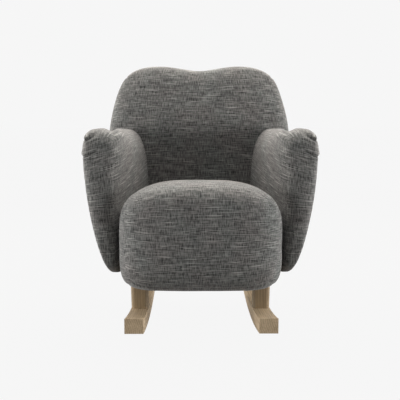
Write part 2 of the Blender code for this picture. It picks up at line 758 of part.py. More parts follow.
def build_arm_bolt(place):
    start, end = arm_bolt_ends(place)
    profile = [
        (0.0, end),
        (ARM_BOLT["radius"], end),
        (ARM_BOLT["radius"], start),
        (ARM_BOLT["head"], start),
        (ARM_BOLT["head"], start - ARM_BOLT["head_thick"]),
        (0.0, start - ARM_BOLT["head_thick"]),
    ]
    bolt = turned("arm_bolt", profile, STEEL, (0.0, ARM_BOLT_Y[place], ARM_BOLT["z"]),
                  turn=(0.0, math.pi / 2, 0.0), sides=12)
    both_sides(bolt, f"arm_bolt_{place}")


# ---------------------------------------------------------------- upholstery
def leg_pocket(place, side):
    x, y = side * RUNNER_X, LEG_Y[place]
    half_x, half_y = LEG_HEAD_SIZE[0] / 2 + FIT, LEG_HEAD_SIZE[1] / 2 + FIT
    return box(f"leg_pocket_{place}_{'right' if side > 0 else 'left'}",
               (x - half_x, y - half_y, BELOW_SEAT),
               (x + half_x, y + half_y, LEG_TOP[place] + 2 * FIT))


def seat_frame_pocket():
    """The space in the seat foam for the frame and webbing, open to the rear."""
    low, top = FRAME_BOTTOM - FIT, FRAME_TOP + 0.0075
    bm = bmesh.new()
    front, rear = FRONT_RAIL_Y - FIT, 0.24
    outline = [
        (-rail_outer_x(front) - FIT, front), (rail_outer_x(front) + FIT, front),
        (rail_outer_x(rear) + FIT, rear), (-rail_outer_x(rear) - FIT, rear),
    ]
    face = bm.faces.new([bm.verts.new((x, y, low)) for x, y in outline])
    raised = bmesh.ops.extrude_face_region(bm, geom=[face])["geom"]
    tops = [item for item in raised if isinstance(item, bmesh.types.BMVert)]
    bmesh.ops.translate(bm, vec=(0, 0, top - low), verts=tops)
    bmesh.ops.recalc_face_normals(bm, faces=bm.faces)
    return as_object("seat_frame_pocket", bm)


def build_dust_cover():
    """A thin tapered panel that fills the opening under the seat."""
    (front_x, front_y), (rear_x, rear_y) = DUST_COVER["front"], DUST_COVER["rear"]
    outline = [(-front_x, front_y), (front_x, front_y), (rear_x, rear_y), (-rear_x, rear_y)]
    panel = plate("dust_cover", outline, DUST_COVER["thick"], LINING)
    panel.location.z = SEAT_UNDERSIDE + DUST_COVER["lift"]


def build_seat(underside, side_ways, bolt_ways):
    cover = soft_cover(
        "seat_cover", SEAT_DIVISIONS, seat_point,
        lambda c: c.z < -0.99 and abs(c.x) < 0.4 and -0.556 < c.y < 0.778
    )
    pockets = [leg_pocket("front", side) for side in (1, -1)]
    cut(cover, *side_ways, *pockets, *bolt_ways)
    settle(cover)
    foam = soft_filling("seat_foam", SEAT_DIVISIONS, seat_point)
    cut(foam, seat_frame_pocket(), underside, *pockets, *bolt_ways)
    settle(foam)
    build_dust_cover()


def build_back(axis, side_ways, rear_way):
    pockets = [leg_pocket("rear", side) for side in (1, -1)]
    cover = soft_cover(
        "back_cover", BACK_DIVISIONS, back_point,
        lambda c: c.z < -0.99 and abs(c.x) < 0.5 and abs(c.y) < 0.5
    )
    cut(cover, *side_ways, *pockets)
    settle(cover)

    half = BACK_FRAME_THICK / 2
    split = -half - CLEAR - STRAP_THICK - CLEAR
    behind = box("back_split_behind", (-FAR, split, -FAR), (FAR, FAR, 2 * FAR))
    ahead = box("back_split_ahead", (-FAR, -FAR, -FAR), (FAR, split + CLEAR, 2 * FAR))
    recess = box("back_frame_recess",
                 (-CREST_HALF_LENGTH - FIT, split - FIT, -POST_FOOT_ROOM),
                 (CREST_HALF_LENGTH + FIT, half + FIT, POST_LENGTH + CREST_HEIGHT + 2 * FIT))
    for cutter in (behind, ahead, recess):
        cutter.parent = axis

    front = soft_filling("back_foam_front", BACK_DIVISIONS, back_point)
    cut(front, behind, rear_way, *side_ways, *pockets)
    settle(front)
    rear = soft_filling("back_foam_rear", BACK_DIVISIONS, back_point)
    cut(rear, ahead, recess, rear_way, *side_ways, *pockets)
    settle(rear)


def build_arms(panel_way, bolt_ways):
    cover = soft_cover(
        "arm_cover", ARM_DIVISIONS, arm_point,
        lambda c: c.z < -0.99 and abs(c.x) < 0.5 and abs(c.y) < 0.5
    )
    cut(cover, *bolt_ways)
    both_sides(cover, "arm_cover")

    split = -ARM_PANEL_THICK / 2 - CLEAR
    inner_half = box("arm_split_inner", (-FAR, -FAR, -FAR), (FAR, FAR, split + CLEAR / 2))
    outer_half = box("arm_split_outer", (-FAR, -FAR, split - CLEAR / 2), (FAR, FAR, FAR))
    for cutter in (inner_half, outer_half):
        cutter.matrix_world = arm_panel_matrix()
    outer = soft_filling("arm_foam_outer", ARM_DIVISIONS, arm_point)
    cut(outer, inner_half, panel_way)
    both_sides(outer, "arm_foam_outer")
    inner = soft_filling("arm_foam_inner", ARM_DIVISIONS, arm_point)
    cut(inner, outer_half, *bolt_ways)
    both_sides(inner, "arm_foam_inner")


def round_shading():
    for obj in PIECES.objects:
        if obj.type == "MESH":
            obj.data.shade_smooth()
            obj.data.set_sharp_from_angle(angle=math.radians(40))


def main():
    build_runner()
    leg_bolt_ways = {place: build_leg(place) for place in LEG_Y}
    for place in LEG_Y:
        build_leg_bolt(place)
        build_runner_screw(place)

    arm_bolt_ways = [build_arm_bolt_way(place) for place in ARM_BOLT_Y]
    left_bolt_ways = []
    for way in arm_bolt_ways:
        twin = way.copy()
        twin.parent = LEFT_SIDE
        CUTTERS.objects.link(twin)
        left_bolt_ways.append(twin)
    for place in ARM_BOLT_Y:
        build_arm_bolt(place)

    side_ways, rear_way = build_seat_frame(
        leg_bolt_ways["front"], leg_bolt_ways["rear"], arm_bolt_ways
    )
    build_webbing()
    axis = build_back_frame()
    panel_way = build_arm_panel(arm_bolt_ways)

    low, high = FOAM_OPENING
    underside = box("underside_opening", (*low, BELOW_SEAT), (*high, FRAME_BOTTOM + 2 * FIT))
    build_seat(underside, side_ways, arm_bolt_ways + left_bolt_ways)
    build_back(axis, side_ways, rear_way)
    build_arms(panel_way, arm_bolt_ways)
    round_shading()


clear_scene()
PIECES = new_collection("rocking_chair")
CUTTERS = new_collection("cutters")
LEFT_SIDE = bpy.data.objects.new("left_side", None)
PIECES.objects.link(LEFT_SIDE)
LEFT_SIDE.scale = (-1.0, 1.0, 1.0)
bpy.context.view_layer.update()
main()
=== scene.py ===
"""Looks of an upholstered rocking chair: a padded seat, a padded back and two padded arms in a
grey slub weave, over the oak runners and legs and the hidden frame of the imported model.

Metres, +Z up, the chair faces -Y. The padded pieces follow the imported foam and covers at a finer
scale, with seams, puckers and pleats. The arms also have a valley along the top, an inner bulge
and a top that falls to the rear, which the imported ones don't.
"""

import math

import bmesh
import bpy
import numpy as np
from mathutils import Euler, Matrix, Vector, noise
from mathutils.bvhtree import BVHTree
from mathutils.kdtree import KDTree


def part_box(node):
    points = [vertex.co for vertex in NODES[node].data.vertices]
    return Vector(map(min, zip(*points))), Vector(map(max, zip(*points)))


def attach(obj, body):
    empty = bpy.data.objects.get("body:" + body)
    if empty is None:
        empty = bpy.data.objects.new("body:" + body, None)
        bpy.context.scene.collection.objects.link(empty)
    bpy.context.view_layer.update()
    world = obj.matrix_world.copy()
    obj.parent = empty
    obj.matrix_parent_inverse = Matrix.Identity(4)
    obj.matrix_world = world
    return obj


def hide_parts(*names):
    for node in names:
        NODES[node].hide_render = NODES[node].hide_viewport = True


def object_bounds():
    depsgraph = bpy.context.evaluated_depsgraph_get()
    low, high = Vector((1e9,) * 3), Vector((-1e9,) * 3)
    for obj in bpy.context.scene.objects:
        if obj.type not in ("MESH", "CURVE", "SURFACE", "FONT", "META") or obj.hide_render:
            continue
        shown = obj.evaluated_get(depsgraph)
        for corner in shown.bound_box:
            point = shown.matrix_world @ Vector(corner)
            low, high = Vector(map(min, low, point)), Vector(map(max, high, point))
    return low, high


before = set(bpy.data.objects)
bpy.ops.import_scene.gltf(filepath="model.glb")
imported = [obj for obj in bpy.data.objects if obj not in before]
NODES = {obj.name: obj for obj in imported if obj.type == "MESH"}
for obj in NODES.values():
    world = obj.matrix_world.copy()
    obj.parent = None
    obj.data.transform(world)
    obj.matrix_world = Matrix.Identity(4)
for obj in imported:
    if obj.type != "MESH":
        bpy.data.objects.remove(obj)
CAD_LOW, CAD_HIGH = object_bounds()

# ---------------------------------------------------------------- sizes
SEAT_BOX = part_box("seat_cover")
BACK_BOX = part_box("back_cover")
ARM_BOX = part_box("arm_cover_right")
FACET = 0.001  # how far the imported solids' flat faces lie inside the round forms

SEAT_FRONT = SEAT_BOX[0].y
SEAT_UNDERSIDE = SEAT_BOX[0].z
SEAT_TOP = SEAT_BOX[1].z + FACET
SEAT_FRONT_BOW = 0.016  # how far the front's sides stand behind its middle
SEAT_MIDDLE_Z = 0.318  # where the seat block is widest
SEAT_FALL = 0.030  # how far the top falls to the rear
SEAT_FRONT_LIFT = 0.004  # how far the underside rises near the front
SEAT_REAR_Y = 0.15  # about where the seat block meets the back
SIDE_AT_FRONT = 0.277  # half the width at SIDE_Y, which shrinks by SIDE_TAPER per metre behind it
SIDE_Y = -0.22
SIDE_TAPER = 0.235
NEIGHBOUR_GAP = 0.003

BACK_BOTTOM = BACK_BOX[0].z
BACK_TOP = 0.900
BACK_FOOT_Y = 0.190  # the middle of its thickness at the bottom
BACK_RAKE = 0.152  # how far its top stands behind its foot
BACK_BEND = 1.15  # above 1, the back leans more towards its top
BACK_DIP = 0.021  # the dip between its two lobes
BACK_DIP_WIDTH = 0.100

ARM_FRONT = ARM_BOX[0].y
ARM_BOTTOM = ARM_BOX[0].z
ARM_TOP = ARM_BOX[1].z + FACET
ARM_REAR_FALL = 0.013  # how far the top falls to the rear
ARM_BULGE = 0.009  # how far the front of the inner lobe leans over the seat
VALLEY_WIDTH = 0.016

RUNNER_RADIUS = 2.56
CONTACT_Y = 0.060  # where the runners touch the floor

LINING_LOW, LINING_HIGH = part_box("dust_cover")
LINING_REAR_SHARE = 0.70  # how wide the lining is at its rear, as a share of its front
LINING_SET_IN = 0.0045  # how far the seat's underside is drawn up over the lining
LINING_FRONT_GAP = 0.004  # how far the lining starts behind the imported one's front edge

# How many squares the forms have along x, y and z.
SEAT_GRID = (70, 56, 44)
BACK_GRID = (76, 18, 84)
ARM_GRID = (22, 48, 150)

# Cloth
PRESSURE = 4.0
SIM_FRAMES = 20
SEAM_REACH = 0.005  # how far from a seam its hold on the cloth fades

# Each padded piece: the most that the simulation may move it; its seams' depth, width, pucker and
# seed; how uneven its cloth is, with a seed; and how full it is.
SEAT_PADDING = (0.006, (0.0016, 0.005, 0.0005, 0.3), (0.0016, 3.0), 0.9)
BACK_PADDING = (0.003, (0.0018, 0.005, 0.0006, 1.1), (0.0016, 8.0), 0.9)
ARM_PADDING = (0.004, (0.0009, 0.004, 0.0005, 0.7), (0.0012, 13.0), 0.85)
LEFT_ARM_SLACK = (0.0012, 19.0)

# The sides of the cube that every padded form starts from.
LEFT, RIGHT, FRONT, REAR, BOTTOM, TOP = range(6)

# Where in the weave's noise each panel is cut from, so that neighbours don't run on.
SEAT_COVER, SEAT_PLAIN = 0.0, 9.0
BACK_COVER, BACK_STRIP, BACK_PLAIN = 20.0, 24.0, 29.0
ARM_PLAIN, ARM_ROUND = 40.0, 43.0


# ---------------------------------------------------------------- forms
def smooth(low, high, value):
    t = np.clip((value - low) / (high - low), 0.0, 1.0)
    return t * t * (3 - 2 * t)


def mix(a, b, t):
    return a + (b - a) * t


def rounded(p, section, front, rear):
    """Rounds points of the cube's surface, with powers for the cross-section (x and z) and for the
    front and rear ends (y). A rear power of None leaves that end flat."""
    x, y, z = p.T
    reach = np.maximum(np.abs(x), np.abs(z))
    norm = (np.abs(x) ** section + np.abs(z) ** section) ** (1 / section)
    k = np.where(reach > 0, reach / np.maximum(norm, 1e-9), 1.0)
    x, z = x * k, z * k
    front_k = (reach**front + np.abs(y) ** front) ** (-1 / front)
    rear_k = 1.0 if rear is None else (reach**rear + np.abs(y) ** rear) ** (-1 / rear)
    k = np.where(y < 0, front_k, rear_k)
    return x * k, y * k, z * k


def side_x(y):
    """Half the width of the seat block, which is also where the arms begin."""
    return SIDE_AT_FRONT - SIDE_TAPER * (y - SIDE_Y)


def back_half_width(z):
    return 0.290 + 0.057 * smooth(0.16, 0.53, z) - 0.022 * smooth(0.62, 0.83, z)


def back_half_thickness(z):
    return 0.055 + 0.024 * smooth(0.18, 0.53, z) - 0.010 * smooth(0.63, 0.90, z)


def back_middle_y(z):
    t = np.maximum(0.0, (z - BACK_BOTTOM) / (BACK_TOP - BACK_BOTTOM))
    return BACK_FOOT_Y + BACK_RAKE * t**BACK_BEND


def back_section_power(z_share):
    return np.where(z_share > 0, 5.0, 6.0)


def back_point(p):
    x, y, z = rounded(p, back_section_power(p[:, 2]), 4.0, 5.0)
    middle, half = (BACK_TOP + BACK_BOTTOM) / 2, (BACK_TOP - BACK_BOTTOM) / 2
    height = middle + half * z
    width = back_half_width(height) * x
    dip = BACK_DIP * np.exp(-((width / BACK_DIP_WIDTH) ** 2)) * smooth(0.65, 0.89, height)
    along = back_middle_y(height) + back_half_thickness(height) * y
    return np.column_stack((width, along, height - dip))


def back_face_y(x, z):
    """Where the back block's front face is, at a place in front of it."""
    middle, half = (BACK_TOP + BACK_BOTTOM) / 2, (BACK_TOP - BACK_BOTTOM) / 2
    share_z = (z - middle) / half
    share_x = np.abs(x) / back_half_width(z)
    power = back_section_power(share_z)
    reach = np.minimum(0.85, (share_x**power + np.abs(share_z) ** power) ** (1 / power))
    return back_middle_y(z) - back_half_thickness(z) * (1 - reach**4) ** 0.25


def seat_point(p):
    x, y, z = rounded(p, np.where(p[:, 2] > 0, 3.2, 5.8), 4.2, None)
    share = (y + 1) / 2
    fall = SEAT_FALL * z * smooth(0.35, 1.0, share)
    above = SEAT_MIDDLE_Z + (SEAT_TOP - SEAT_MIDDLE_Z) * z - fall
    front_lift = SEAT_FRONT_LIFT * smooth(0.40, 0.12, share)
    below = SEAT_MIDDLE_Z + (SEAT_MIDDLE_Z - SEAT_UNDERSIDE - front_lift) * z
    height = np.where(z > 0, above, below)
    front = SEAT_FRONT + SEAT_FRONT_BOW * x * x
    wide = side_x(mix(SEAT_FRONT, SEAT_REAR_Y, share)) * x
    rear = back_face_y(wide, height) - NEIGHBOUR_GAP
    along = mix(front, rear, share)
    return np.column_stack((side_x(along) * x, along, height))


def groove_x(y):
    """Where the valley between the arm's two lobes runs: from the inner front corner outwards."""
    return 0.282 + 0.13 * (y - ARM_FRONT)


def arm_point(p):
    """The right arm: a leaf-shaped slab that flares outwards and up, thicker to the rear, with a
    valley along its top between an outer and an inner lobe."""
    share = (p[:, 1] + 1) / 2
    section = np.where(p[:, 2] > 0, 2.1 + 4.9 * (1 - share) ** 2.6, 5.5)
    x, y, z = rounded(p, section, 5.0, None)
    share = (y + 1) / 2
    up = (z + 1) / 2
    height = mix(ARM_BOTTOM - 0.003, ARM_TOP - ARM_REAR_FALL * share, up)
    flare = 1 - (1 - up) ** 2.3
    outer = mix(0.309 + 0.087 * flare, 0.270 + 0.086 * flare, share)
    bulge = ARM_BULGE * (1 - share) * smooth(0.50, 0.58, height)
    guess = mix(outer, mix(0.266, 0.203, share), 0.5) + 0.05 * x
    rear = back_face_y(guess, height) - NEIGHBOUR_GAP
    along = mix(ARM_FRONT, rear, share)
    inner = side_x(along) + NEIGHBOUR_GAP - bulge
    across = mix(inner, outer, (x + 1) / 2)
    valley = mix(0.006, 0.012, smooth(0.05, 0.35, share))
    in_valley = np.exp(-(((across - groove_x(along)) / VALLEY_WIDTH) ** 2))
    height = height - valley * in_valley * smooth(0.80, 0.97, up)
    return np.column_stack((across, along, height))


# ---------------------------------------------------------------- padded meshes
def ease(t):
    """Spreads the cube's rows so that more of them fall on the rounded edges."""
    return 0.45 * t + 0.55 * np.sin(t * math.pi / 2)


def gridded_cube(divisions):
    bm = bmesh.new()
    bmesh.ops.create_cube(bm, size=2.0)
    for axis in range(3):
        along = [
            edge for edge in bm.edges
            if abs(edge.verts[0].co[axis] - edge.verts[1].co[axis]) > 1e-6
        ]
        bmesh.ops.subdivide_edges(bm, edges=along, cuts=divisions[axis] - 1, use_grid_fill=True)
    return bm


def padded_piece(name, divisions, point, weave):
    """A closed soft form. Each corner also keeps its place in its panel's weave, in metres."""
    bm = gridded_cube(divisions)
    mesh = bpy.data.meshes.new(name)
    bm.to_mesh(mesh)
    bm.free()
    on_cube = np.array([vert.co for vert in mesh.vertices])
    places = point(ease(on_cube))
    corners = np.array([loop.vertex_index for loop in mesh.loops])
    sides = np.zeros(len(corners), int)
    middles = np.zeros((len(corners), 3))
    for face in mesh.polygons:
        axis = int(np.argmax(np.abs(face.center)))
        sign = 1 if face.center[axis] > 0 else 0
        own = slice(face.loop_start, face.loop_start + face.loop_total)
        sides[own] = 2 * axis + sign
        middles[own] = face.center
    mesh.vertices.foreach_set("co", places.ravel())
    layer = mesh.attributes.new("weave", "FLOAT_VECTOR", "CORNER")
    laid = weave(places[corners], sides, on_cube[corners], middles)
    layer.data.foreach_set("vector", laid.ravel().astype(np.float32))
    mesh.shade_smooth()
    mesh.update()
    obj = bpy.data.objects.new(name, mesh)
    bpy.context.scene.collection.objects.link(obj)
    return obj, on_cube


def coordinates(obj):
    out = np.empty(len(obj.data.vertices) * 3)
    obj.data.vertices.foreach_get("co", out)
    return out.reshape(-1, 3)


def normals(obj):
    obj.data.update()
    out = np.empty(len(obj.data.vertices) * 3, np.float32)
    obj.data.vertices.foreach_get("normal", out)
    return out.reshape(-1, 3).astype(float)


def set_coordinates(obj, places):
    obj.data.vertices.foreach_set("co", np.asarray(places, float).ravel())
    obj.data.update()


def seam_line(point, corners, steps=400):
    """Points along a seam that runs straight between corners on the cube, and their lengths from
    its start."""
    cube = []
    for first, second in zip(corners, corners[1:]):
        t = np.linspace(0.0, 1.0, steps, endpoint=False)[:, None]
        cube.append(np.array(first) * (1 - t) + np.array(second) * t)
    cube.append(np.array([corners[-1]], float))
    places = point(ease(np.vstack(cube)))
    spans = np.linalg.norm(np.diff(places, axis=0), axis=1)
    return places, np.concatenate(([0.0], np.cumsum(spans)))


def seam_field(places, seams):
    """For each place, how far it is from the nearest seam, and how far along that seam."""
    points = np.vstack([line for line, _ in seams])
    lengths = np.concatenate([length for _, length in seams])
    tree = KDTree(len(points))
    for index, place in enumerate(points):
        tree.insert(place, index)
    tree.balance()
    found = [tree.find(place)[1:] for place in places]
    index = np.array([f[0] for f in found])
    return np.array([f[1] for f in found]), lengths[index]


def sew(obj, seams, depth, width, pucker, seed):
    """Draws the cloth in along its seams, with small puckers that fade away from them."""
    places, outward = coordinates(obj), normals(obj)
    distance, along = seam_field(places, seams)
    groove = depth * np.exp(-((distance / width) ** 2))
    short_wave = np.sin(along * 2 * math.pi / 0.021 + seed)
    long_wave = np.sin(along * 2 * math.pi / 0.034 + 2 * seed)
    ripple = short_wave + 0.6 * long_wave
    fade = np.exp(-distance / 0.011) * (1 - np.exp(-((distance / 0.004) ** 2)))
    push = -groove + pucker * ripple * fade
    set_coordinates(obj, places + outward * push[:, None])


def slack(obj, amount, seed):
    """Slow, shallow unevenness of hand-fitted cloth over foam."""
    places, outward = coordinates(obj), normals(obj)
    spots = [Vector(place) * 7.0 + Vector((seed, 0.0, 0.0)) for place in places]
    push = np.array([noise.noise(spot) + 0.5 * noise.noise(spot * 2.3) for spot in spots])
    set_coordinates(obj, places + outward * (amount * push)[:, None])


def swell(jobs):
    """Blows the covers up a little with Blender's cloth, held along their seams and where another
    piece is near. Each job is an object, how firmly each of its points is held, and the most that
    a point may move."""
    starts = []
    for obj, held, _ in jobs:
        places = coordinates(obj)
        group = obj.vertex_groups.new(name="held")
        for share in (1.0, 0.75, 0.5, 0.25):
            near = np.flatnonzero(np.abs(held - share) < 0.125)
            group.add(near.tolist(), share, "REPLACE")
        cloth = obj.modifiers.new("cloth", "CLOTH")
        cloth.settings.quality = 5
        cloth.settings.mass = 0.25
        cloth.settings.tension_stiffness = 40.0
        cloth.settings.compression_stiffness = 40.0
        cloth.settings.shear_stiffness = 20.0
        cloth.settings.bending_stiffness = 2.0
        cloth.settings.use_pressure = True
        cloth.settings.uniform_pressure_force = PRESSURE
        cloth.settings.vertex_group_mass = "held"
        cloth.settings.pin_stiffness = 1.0
        cloth.settings.effector_weights.gravity = 0.0
        cloth.collision_settings.use_collision = False
        cloth.collision_settings.use_self_collision = False
        cloth.point_cache.frame_start = 1
        cloth.point_cache.frame_end = SIM_FRAMES
        starts.append(places)
    scene = bpy.context.scene
    for step in range(1, SIM_FRAMES + 1):
        scene.frame_set(step)
    graph = bpy.context.evaluated_depsgraph_get()
    for (obj, held, limit), start in zip(jobs, starts):
        shape = obj.evaluated_get(graph).to_mesh()
        end = np.empty(len(shape.vertices) * 3)
        shape.vertices.foreach_get("co", end)
        move = end.reshape(-1, 3) - start
        length = np.maximum(np.linalg.norm(move, axis=1), 1e-9)
        scale = np.minimum(1.0, limit / length) * (1 - held)
        obj.evaluated_get(graph).to_mesh_clear()
        obj.modifiers.clear()
        obj.vertex_groups.clear()
        set_coordinates(obj, start + move * scale[:, None])
    scene.frame_set(1)


def profile(point, level, steps=1500):
    """The middle line over a block in the plane of y and z, up its front and back over its top,
    with the lengths along it counted so that they equal z at a level of its front."""
    line, lengths = seam_line(point, [(0, -1, -1), (0, -1, 1), (0, 1, 1)], steps)
    start = int(np.argmin(np.abs(line[:steps, 2] - level)))
    return line[:, 1:], lengths - lengths[start] + level


def over_profile(places, line, lengths):
    """Coordinates of a cloth laid over a block: along its middle line, and out to either side."""
    tree = KDTree(len(line))
    for index, (y, z) in enumerate(line):
        tree.insert((0.0, y, z), index)
    tree.balance()
    found = [tree.find((0.0, y, z)) for _, y, z in places]
    along = lengths[[hit[1] for hit in found]]
    depth = np.array([hit[2] for hit in found])
    return places[:, 0] + np.sign(places[:, 0]) * depth, along


def girth(point, cube, steps=600):
    """For places on the right, top and left panels: their length round the block's middle section,
    counted from the middle of its top, and how far round they are, from 0 to 3 panels."""
    t = np.linspace(0.0, 3.0, steps)
    round_x = np.interp(t, (0, 1, 2, 3), (1, 1, -1, -1))
    round_z = np.interp(t, (0, 1, 2, 3), (-1, 1, 1, -1))
    ring = point(ease(np.column_stack((round_x, np.zeros(steps), round_z))))
    lengths = np.cumsum(np.linalg.norm(np.diff(ring, axis=0, prepend=ring[:1]), axis=1))
    x, _, z = cube.T
    turn = np.where(np.abs(z) > 0.99999, 1.5 - x / 2, np.where(x > 0, (z + 1) / 2, 2.5 - z / 2))
    return np.interp(turn, t, lengths) - np.interp(1.5, t, lengths), turn


def seat_weave(places, sides, cube, middles):
    """One cloth over the front and top, whose sides are cut with it; the underside is plain."""
    out = np.column_stack((places[:, 0], places[:, 1], np.full(len(places), SEAT_PLAIN)))
    cover = (sides == FRONT) | (sides == TOP)
    out[cover, 0], out[cover, 1] = over_profile(places[cover], *profile(seat_point, 0.30))
    out[cover, 2] = SEAT_COVER
    flank = (sides == LEFT) | (sides == RIGHT)
    out[flank, 0] += np.sign(places[flank, 0]) * (places[flank, 1] - SEAT_FRONT)
    out[flank, 1] = places[flank, 2]
    out[flank, 2] = SEAT_COVER
    behind = sides == REAR
    out[behind, 1] = places[behind, 2]
    return out


def back_weave(places, sides, cube, middles):
    """One cloth over the front that reaches halfway round the sides and top, a strip round the
    rest of them, and a plain panel behind."""
    out = np.column_stack((places[:, 0], places[:, 2], np.full(len(places), BACK_PLAIN)))
    edge = (sides == LEFT) | (sides == RIGHT) | (sides == TOP)
    cover = (sides == FRONT) | (edge & (middles[:, 1] < 0))
    out[cover, 0], out[cover, 1] = over_profile(places[cover], *profile(back_point, 0.50))
    out[cover, 2] = BACK_COVER
    strip = edge & ~cover
    out[strip, 0] = places[strip, 1] - back_middle_y(places[strip, 2])
    out[strip, 1] = girth(back_point, cube[strip])[0]
    out[strip, 2] = BACK_STRIP
    return out


def arm_weave(places, sides, cube, middles):
    """One cloth on the front, turned where it is drawn up to the pleats, and one round the rest,
    which slants on the inside."""
    x, y, z = places.T
    out = np.column_stack((y, z, np.full(len(places), ARM_PLAIN)))
    front = sides == FRONT
    out[front, 0] = x[front]
    out[front, 1] = (z + 0.30 * smooth(0.30, 0.62, z) * (x - 0.30))[front]
    round_it = (sides == LEFT) | (sides == RIGHT) | (sides == TOP)
    length, turn = girth(arm_point, cube[round_it])
    fall = ARM_TOP + 0.045 - z[round_it]
    flank = np.where(turn > 1.5, fall + 0.18 * y[round_it], -fall)
    out[round_it, 1] = mix(length, flank, smooth(0.05, 0.60, np.abs(turn - 1.5)))
    out[round_it, 2] = ARM_ROUND
    return out


# ---------------------------------------------------------------- material helpers
class Nodes:
    """A short way to build a node tree: each call adds a node and returns its output."""

    def __init__(self, name):
        self.material = bpy.data.materials.new(name)
        self.material.use_nodes = True
        self.tree = self.material.node_tree
        self.shader = self.tree.nodes["Principled BSDF"]

    def add(self, kind, **settings):
        node = self.tree.nodes.new(kind)
        for key, value in settings.items():
            setattr(node, key, value)
        return node

    def plug(self, value, socket):
        if isinstance(value, bpy.types.NodeSocket):
            self.tree.links.new(value, socket)
        else:
            socket.default_value = value

    def math(self, operation, a, b=0.0, clamp=False):
        node = self.add("ShaderNodeMath", operation=operation, use_clamp=clamp)
        self.plug(a, node.inputs[0])
        self.plug(b, node.inputs[1])
        return node.outputs[0]

    def scaled(self, vector, scale):
        node = self.add("ShaderNodeVectorMath", operation="MULTIPLY")
        self.plug(vector, node.inputs[0])
        node.inputs[1].default_value = scale
        return node.outputs[0]

    def noise(self, vector, scale, detail=2.0, roughness=0.5):
        node = self.add("ShaderNodeTexNoise")
        self.plug(self.scaled(vector, scale), node.inputs["Vector"])
        node.inputs["Scale"].default_value = 1.0
        node.inputs["Detail"].default_value = detail
        node.inputs["Roughness"].default_value = roughness
        return node.outputs["Fac"]

    def ramp(self, value, low, high, to_low=0.0, to_high=1.0):
        node = self.add("ShaderNodeMapRange", clamp=True)
        self.plug(value, node.inputs["Value"])
        node.inputs["From Min"].default_value = low
        node.inputs["From Max"].default_value = high
        node.inputs["To Min"].default_value = to_low
        node.inputs["To Max"].default_value = to_high
        return node.outputs["Result"]

    def blend(self, share, a, b, kind="MIX"):
        node = self.add("ShaderNodeMix", data_type="RGBA", blend_type=kind)
        self.plug(share, node.inputs["Factor"])
        for colour, socket in ((a, node.inputs[6]), (b, node.inputs[7])):
            if isinstance(colour, bpy.types.NodeSocket):
                self.tree.links.new(colour, socket)
            else:
                socket.default_value = (*colour, 1.0)
        return node.outputs[2]

    def bump(self, height, strength, distance):
        node = self.add("ShaderNodeBump")
        node.inputs["Strength"].default_value = strength
        node.inputs["Distance"].default_value = distance
        self.plug(height, node.inputs["Height"])
        self.tree.links.new(node.outputs["Normal"], self.shader.inputs["Normal"])

    def colour(self, value):
        self.plug(value, self.shader.inputs["Base Color"])

    def roughness(self, value):
        self.plug(value, self.shader.inputs["Roughness"])


# ---------------------------------------------------------------- fabric
def slub_weave(name):
    """A grey linen-like weave: uneven threads both ways, with thick pale and dark stretches."""
    n = Nodes(name)
    at = n.add("ShaderNodeAttribute", attribute_name="weave").outputs["Vector"]
    weft = n.noise(at, (20.0, 340.0, 1.0), detail=1.5, roughness=0.6)
    weft_fine = n.noise(at, (60.0, 900.0, 1.7), detail=1.0)
    warp = n.noise(at, (340.0, 42.0, 2.3), detail=1.5, roughness=0.6)
    warp_fine = n.noise(at, (900.0, 70.0, 2.9), detail=1.0)
    cloud = n.noise(at, (9.0, 9.0, 1.3), detail=3.0)
    slub = n.noise(at, (13.0, 310.0, 5.1), detail=1.0)
    band = n.noise(at, (3.0, 95.0, 7.3), detail=2.0)

    threads = n.math("ADD", n.math("MULTIPLY", weft, 0.45), n.math("MULTIPLY", warp, 0.55))
    fine = n.math("ADD", n.math("MULTIPLY", weft_fine, 0.5), n.math("MULTIPLY", warp_fine, 0.5))
    level = n.math("ADD", n.math("MULTIPLY", threads, 0.72), n.math("MULTIPLY", fine, 0.28))
    level = n.math("ADD", level, n.ramp(band, 0.30, 0.70, -0.010, 0.010))
    tone = n.ramp(level, 0.41, 0.60)
    base = n.blend(tone, (0.036, 0.036, 0.035), (0.232, 0.229, 0.221))
    pale = n.ramp(slub, 0.61, 0.70, 0.0, 0.60)
    base = n.blend(pale, base, (0.42, 0.413, 0.395))
    dark = n.ramp(slub, 0.31, 0.40, 0.40, 0.0)
    base = n.blend(dark, base, (0.028, 0.028, 0.028))
    tint = n.ramp(cloud, 0.35, 0.65)
    warm = n.blend(tint, (0.97, 0.995, 0.975), (1.045, 1.0, 0.98))
    base = n.blend(1.0, base, warm, kind="MULTIPLY")
    n.colour(base)
    n.roughness(n.ramp(level, 0.3, 0.7, 0.95, 0.80))
    n.bump(level, 0.55, 0.0012)
    n.shader.inputs["Sheen Weight"].default_value = 0.22
    n.shader.inputs["Sheen Roughness"].default_value = 0.45
    n.shader.inputs["Specular IOR Level"].default_value = 0.2
    return n.material


